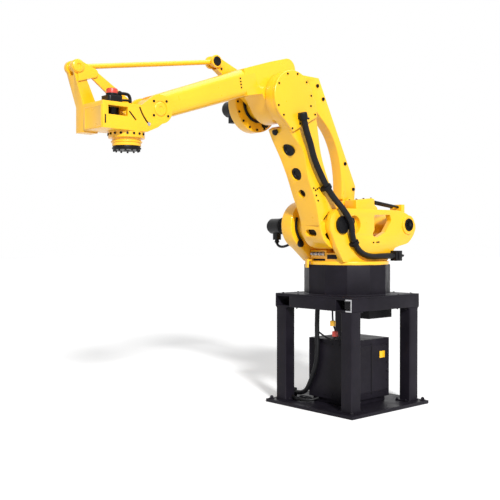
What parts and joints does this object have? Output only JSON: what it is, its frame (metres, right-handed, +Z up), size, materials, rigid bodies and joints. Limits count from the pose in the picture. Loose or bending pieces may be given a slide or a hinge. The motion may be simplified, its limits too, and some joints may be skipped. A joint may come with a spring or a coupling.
{
  "type": "industrial palletizing robot arm",
  "caption": "Floor-standing palletizing robot arm on a square steel stand, with levelling linkage, black motors and a round tool flange.",
  "frame": {"origin": "on the floor under the swivel axis, at the underside of the base plate", "axes": "+X the way the arm reaches, +Y the arm's left side, +Z up along the swivel axis"},
  "size_m": [3.5516, 1.194, 3.1092],
  "materials": {
    "yellow_paint": "semi-gloss paint",
    "charcoal_paint": "satin paint",
    "black_paint": "satin paint",
    "black_rubber": "satin",
    "black_plastic": "matt",
    "red_plastic": "gloss"
  },
  "bodies": {
    "stand": {"base_plate": "charcoal_paint", "post_front_left": "charcoal_paint", "post_front_right": "charcoal_paint", "post_rear_left": "charcoal_paint", "post_rear_right": "charcoal_paint", "side_channel_left": "charcoal_paint", "side_channel_right": "charcoal_paint", "front_beam": "charcoal_paint", "rear_beam": "charcoal_paint", "deck_plate": "charcoal_paint", "riser_pedestal": "charcoal_paint", "power_cabinet": "charcoal_paint", "cable_duct": "black_plastic", "stand_cables": "black_rubber"},
    "turntable": {"swivel_base": "yellow_paint", "near_cheek": "yellow_paint", "far_cheek": "yellow_paint", "tail_barrel": "yellow_paint", "link_bracket": "yellow_paint", "shoulder_drive": "yellow_paint", "shoulder_motor": "black_paint", "bearing_cap": "black_plastic", "tail_hub_cap": "black_plastic", "stop_tab": "yellow_paint", "balance_yoke": "yellow_paint", "balance_rods": "black_paint", "shoulder_band": "black_plastic", "hose_connector": "black_plastic"},
    "lower_arm": {"lower_arm": "yellow_paint", "elbow_cover": "yellow_paint", "hose_gland": "black_plastic", "umbilical_hose": "black_rubber"},
    "rear_link": {"rear_link": "yellow_paint"},
    "elbow_lever": {"elbow_lever": "yellow_paint"},
    "upper_arm": {"upper_arm": "yellow_paint", "elbow_drive": "yellow_paint", "elbow_motor": "black_paint", "elbow_band": "black_plastic"},
    "level_rod": {"level_rod": "yellow_paint"},
    "wrist": {"wrist_frame": "yellow_paint", "front_strut": "yellow_paint", "diagonal_strut": "yellow_paint", "wrist_motor": "black_paint", "encoder_cap": "red_plastic"},
    "tool_flange": {"tool_flange": "black_paint"}
  },
  "joints": [
    {"name": "swivel", "type": "hinge", "parent": "stand", "child": "turntable", "pos_m": [0, 0, 0], "axis": [0, 0, 1], "range_deg": [-180, 180]},
    {"name": "shoulder", "type": "hinge", "parent": "turntable", "child": "lower_arm", "pos_m": [0.37, 0, 1.68], "axis": [0, 1, 0], "range_deg": [-25, 45], "deforming": ["umbilical_hose"]},
    {"name": "elbow_level", "type": "hinge", "parent": "lower_arm", "child": "elbow_lever", "pos_m": [0.93478, 0, 2.75575], "axis": [0, 1, 0], "range_deg": [-45, 25]},
    {"name": "rear_link_foot", "type": "hinge", "parent": "turntable", "child": "rear_link", "pos_m": [-0.033, 0, 1.883], "axis": [0, 1, 0], "range_deg": [-25, 45]},
    {"name": "elbow", "type": "hinge", "parent": "elbow_lever", "child": "upper_arm", "pos_m": [0.93478, 0, 2.75575], "axis": [0, 1, 0], "range_deg": [-20, 45]},
    {"name": "wrist_level", "type": "hinge", "parent": "upper_arm", "child": "wrist", "pos_m": [2.24458, 0, 2.5248], "axis": [0, 1, 0], "range_deg": [-45, 20]},
    {"name": "rod_rear", "type": "hinge", "parent": "elbow_lever", "child": "level_rod", "pos_m": [1.48278, -0.18, 3.04175], "axis": [0, 1, 0], "range_deg": [-20, 45]},
    {"name": "tool_turn", "type": "hinge", "parent": "wrist", "child": "tool_flange", "pos_m": [2.45858, 0, 2.2098], "axis": [0, 0, 1], "range_deg": [-350, 350]}
  ],
  "couplings": [
    {"joint": "elbow_level", "follows": "shoulder", "ratio": -1},
    {"joint": "rear_link_foot", "follows": "shoulder", "ratio": 1},
    {"joint": "wrist_level", "follows": "elbow", "ratio": -1},
    {"joint": "rod_rear", "follows": "elbow", "ratio": 1}
  ]
}
